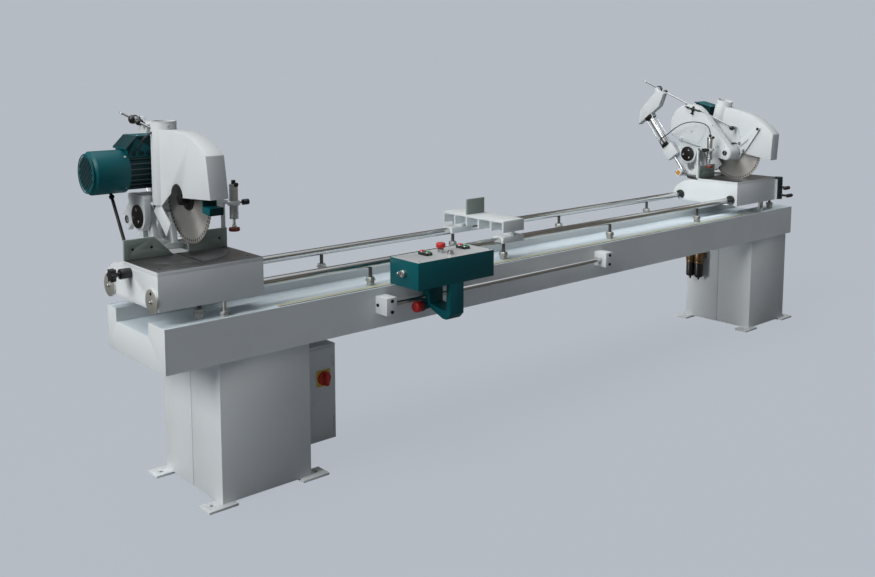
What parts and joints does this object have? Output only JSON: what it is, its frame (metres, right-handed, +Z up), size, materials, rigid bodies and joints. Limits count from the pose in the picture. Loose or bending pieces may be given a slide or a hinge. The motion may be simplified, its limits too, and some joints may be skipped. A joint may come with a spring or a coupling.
{
  "type": "double miter saw",
  "caption": "Long twin-head miter saw: a fixed and a sliding pneumatic saw head on round rails over a hollow bed, with a roller-free middle support and a sliding control box",
  "frame": {"origin": "on the floor, at the centre of the outer foot bolts", "axes": "+X along the bed to the right head, +Y to the back of the machine, +Z up"},
  "size_m": [4.5968, 1.1223, 1.5778],
  "materials": {
    "grey_paint": "satin",
    "teal_paint": "satin",
    "table_iron": "ground",
    "steel": "ground",
    "chrome": "polished",
    "clamp_alloy": "anodised",
    "black_plastic": "moulded",
    "red_plastic": "moulded",
    "green_plastic": "moulded",
    "rubber_black": "matt"
  },
  "bodies": {
    "base": {"bed_beam": "grey_paint", "pedestals": "grey_paint", "guide_rails": "chrome", "electrical_cabinet": "grey_paint", "filter_regulator": "black_plastic", "control_rail": "chrome", "left_table": "grey_paint", "left_table_top": "table_iron", "left_clamp": "clamp_alloy"},
    "carriage": {"right_table": "grey_paint", "right_table_top": "table_iron", "right_clamp": "clamp_alloy", "right_clamp_hose": "rubber_black"},
    "support": {"middle_support": "grey_paint"},
    "control": {"control_box": "teal_paint"},
    "control_clamp": {"control_knob": "red_plastic"},
    "switch": {"main_switch": "red_plastic"},
    "estop": {"emergency_stop": "red_plastic"},
    "feed_push": {"feed_button": "chrome"},
    "left_stop": {"left_stop_button": "red_plastic"},
    "left_start": {"left_start_button": "green_plastic"},
    "right_stop": {"right_stop_button": "red_plastic"},
    "right_start": {"right_start_button": "green_plastic"},
    "left_turn": {"left_turntable": "table_iron", "left_yoke": "grey_paint"},
    "left_head": {"left_arm": "grey_paint", "left_belt_cover": "grey_paint", "left_guard": "grey_paint", "left_motor": "teal_paint", "left_drive_belt": "rubber_black", "left_motor_cable": "rubber_black"},
    "left_cutter": {"left_spindle": "steel", "left_blade": "steel"},
    "left_rotor_body": {"left_rotor": "steel"},
    "left_swing": {"left_swing_guard": "grey_paint"},
    "left_lever": {"left_guard_lever": "grey_paint"},
    "left_link": {"left_guard_link": "grey_paint"},
    "left_rod": {"left_guard_rod": "steel"},
    "left_feed": {"left_feed_cylinder": "grey_paint"},
    "left_piston": {"left_feed_rod": "steel"},
    "left_pad": {"left_clamp_rod": "steel"},
    "left_lock_knob": {"left_lock": "black_plastic"},
    "right_turn": {"right_turntable": "table_iron", "right_yoke": "grey_paint"},
    "right_head": {"right_arm": "grey_paint", "right_belt_cover": "grey_paint", "right_guard": "grey_paint", "right_motor": "teal_paint", "right_drive_belt": "rubber_black"},
    "right_cutter": {"right_spindle": "steel", "right_blade": "steel"},
    "right_rotor_body": {"right_rotor": "steel"},
    "right_swing": {"right_swing_guard": "grey_paint"},
    "right_lever": {"right_guard_lever": "grey_paint"},
    "right_link": {"right_guard_link": "grey_paint"},
    "right_rod": {"right_guard_rod": "steel"},
    "right_feed": {"right_feed_cylinder": "grey_paint"},
    "right_piston": {"right_feed_rod": "steel"},
    "right_pad": {"right_clamp_rod": "steel"},
    "right_lock_knob": {"right_lock": "black_plastic"}
  },
  "joints": [
    {"name": "left_swivel", "type": "hinge", "parent": "base", "child": "left_turn", "pos_m": [-2.116, 0.05, 0.95], "axis": [0, 0, 1], "range_deg": [-45, 0]},
    {"name": "left_chop", "type": "hinge", "parent": "left_turn", "child": "left_head", "pos_m": [-2.116, 0.226, 1.102], "axis": [1, 0, 0], "range_deg": [0, 13.2]},
    {"name": "left_blade_spin", "type": "hinge", "parent": "left_head", "child": "left_cutter", "pos_m": [-2.116, -0.058, 1.198], "axis": [1, 0, 0], "continuous": true},
    {"name": "left_motor_spin", "type": "hinge", "parent": "left_head", "child": "left_rotor_body", "pos_m": [-2.116, 0.246, 1.29], "axis": [1, 0, 0], "continuous": true},
    {"name": "left_guard_swing", "type": "hinge", "parent": "left_head", "child": "left_swing", "pos_m": [-2.116, -0.058, 1.198], "axis": [1, 0, 0], "range_deg": [-29.17, 0]},
    {"name": "left_crank_turn", "type": "hinge", "parent": "left_head", "child": "left_lever", "pos_m": [-2.116, -0.0866, 1.2649], "axis": [1, 0, 0], "range_deg": [-26.52, 0]},
    {"name": "left_link_turn", "type": "hinge", "parent": "left_lever", "child": "left_link", "pos_m": [-2.116, -0.2328, 1.3324], "axis": [1, 0, 0], "range_deg": [0, 11.82]},
    {"name": "left_feed_tilt", "type": "hinge", "parent": "left_head", "child": "left_feed", "pos_m": [-2.116, 0.3422, 1.0761], "axis": [1, 0, 0], "range_deg": [-7.03, 0]},
    {"name": "left_feed_stroke", "type": "slide", "parent": "left_feed", "child": "left_piston", "axis": [0, -0.7038, -0.7104], "range_m": [0, 0.0224]},
    {"name": "left_rod_tilt", "type": "hinge", "parent": "left_feed", "child": "left_rod", "pos_m": [-2.116, 0.5238, 1.4729], "axis": [1, 0, 0], "range_deg": [0, 6]},
    {"name": "left_clamp_press", "type": "slide", "parent": "base", "child": "left_pad", "axis": [0, 0, -1], "range_m": [0, 0.055]},
    {"name": "right_swivel", "type": "hinge", "parent": "carriage", "child": "right_turn", "pos_m": [1.733, 0.05, 0.95], "axis": [0, 0, 1], "range_deg": [0, 45], "deforming": ["right_clamp_hose"]},
    {"name": "right_chop", "type": "hinge", "parent": "right_turn", "child": "right_head", "pos_m": [1.733, 0.226, 1.102], "axis": [1, 0, 0], "range_deg": [-13.2, 0], "deforming": ["right_clamp_hose"]},
    {"name": "right_blade_spin", "type": "hinge", "parent": "right_head", "child": "right_cutter", "pos_m": [1.733, -0.07242, 1.13061], "axis": [1, 0, 0], "continuous": true},
    {"name": "right_motor_spin", "type": "hinge", "parent": "right_head", "child": "right_rotor_body", "pos_m": [1.733, 0.20254, 1.2896], "axis": [1, 0, 0], "continuous": true},
    {"name": "right_guard_swing", "type": "hinge", "parent": "right_head", "child": "right_swing", "pos_m": [1.733, -0.07242, 1.13061], "axis": [1, 0, 0], "range_deg": [0, 29.17]},
    {"name": "right_crank_turn", "type": "hinge", "parent": "right_head", "child": "right_lever", "pos_m": [1.733, -0.11554, 1.18921], "axis": [1, 0, 0], "range_deg": [0, 26.52]},
    {"name": "right_link_turn", "type": "hinge", "parent": "right_lever", "child": "right_link", "pos_m": [1.733, -0.24229, 1.28854], "axis": [1, 0, 0], "range_deg": [-11.82, 0]},
    {"name": "right_feed_tilt", "type": "hinge", "parent": "right_head", "child": "right_feed", "pos_m": [1.733, 0.34504, 1.10332], "axis": [1, 0, 0], "range_deg": [0, 7.03]},
    {"name": "right_feed_stroke", "type": "slide", "parent": "right_feed", "child": "right_piston", "axis": [0, -0.6231, -0.7821], "range_m": [-0.0224, 0]},
    {"name": "right_rod_tilt", "type": "hinge", "parent": "right_feed", "child": "right_rod", "pos_m": [1.733, 0.4828, 1.51739], "axis": [1, 0, 0], "range_deg": [-6, 0]},
    {"name": "right_clamp_press", "type": "slide", "parent": "carriage", "child": "right_pad", "axis": [0, 0, -1], "range_m": [0, 0.055]},
    {"name": "left_lock_turn", "type": "hinge", "parent": "base", "child": "left_lock_knob", "pos_m": [-2.366, 0.002, 0.928], "axis": [1, 0, 0], "range_deg": [0, 90]},
    {"name": "right_lock_turn", "type": "hinge", "parent": "carriage", "child": "right_lock_knob", "pos_m": [1.989, -0.232, 0.89], "axis": [0, 0, 1], "range_deg": [-45, 45]},
    {"name": "carriage_slide", "type": "slide", "parent": "base", "child": "carriage", "axis": [1, 0, 0], "range_m": [-1.45, 0.03]},
    {"name": "support_slide", "type": "slide", "parent": "base", "child": "support", "axis": [1, 0, 0], "range_m": [-1, 0.4]},
    {"name": "control_slide", "type": "slide", "parent": "base", "child": "control", "axis": [1, 0, 0], "range_m": [-0.12, 1.1]},
    {"name": "control_clamp_turn", "type": "hinge", "parent": "control", "child": "control_clamp", "pos_m": [-1.147, -0.296, 0.649], "axis": [1, 0, 0], "range_deg": [0, 180]},
    {"name": "main_switch_turn", "type": "hinge", "parent": "base", "child": "switch", "pos_m": [-1.528, -0.11, 0.361], "axis": [0, 1, 0], "range_deg": [0, 90]},
    {"name": "left_stop_press", "type": "slide", "parent": "control", "child": "left_stop", "axis": [0, 0, -1], "range_m": [0, 0.005], "stiffness_N_per_m": 300},
    {"name": "left_start_press", "type": "slide", "parent": "control", "child": "left_start", "axis": [0, 0, -1], "range_m": [0, 0.005], "stiffness_N_per_m": 300},
    {"name": "right_stop_press", "type": "slide", "parent": "control", "child": "right_stop", "axis": [0, 0, -1], "range_m": [0, 0.005], "stiffness_N_per_m": 300},
    {"name": "right_start_press", "type": "slide", "parent": "control", "child": "right_start", "axis": [0, 0, -1], "range_m": [0, 0.005], "stiffness_N_per_m": 300},
    {"name": "emergency_press", "type": "slide", "parent": "control", "child": "estop", "axis": [0, 0, -1], "range_m": [0, 0.005], "stiffness_N_per_m": 400},
    {"name": "feed_press", "type": "slide", "parent": "control", "child": "feed_push", "axis": [0, 0, -1], "range_m": [0, 0.005], "stiffness_N_per_m": 300}
  ],
  "couplings": [
    {"joint": "left_motor_spin", "follows": "left_blade_spin", "ratio": 0.45833},
    {"joint": "left_guard_swing", "follows": "left_chop", "ratio": -2.2083},
    {"joint": "left_crank_turn", "follows": "left_chop", "ratio": -2.0076},
    {"joint": "left_link_turn", "follows": "left_chop", "ratio": 0.89394},
    {"joint": "left_feed_tilt", "follows": "left_chop", "ratio": -0.53106},
    {"joint": "left_rod_tilt", "follows": "left_chop", "ratio": 0.45303},
    {"joint": "left_feed_stroke", "follows": "left_chop", "m_per_rad": 0.096361},
    {"joint": "right_motor_spin", "follows": "right_blade_spin", "ratio": 0.45833},
    {"joint": "right_guard_swing", "follows": "right_chop", "ratio": -2.2083},
    {"joint": "right_crank_turn", "follows": "right_chop", "ratio": -2.0076},
    {"joint": "right_link_turn", "follows": "right_chop", "ratio": 0.89394},
    {"joint": "right_feed_tilt", "follows": "right_chop", "ratio": -0.53106},
    {"joint": "right_rod_tilt", "follows": "right_chop", "ratio": 0.45303},
    {"joint": "right_feed_stroke", "follows": "right_chop", "m_per_rad": 0.096361}
  ]
}
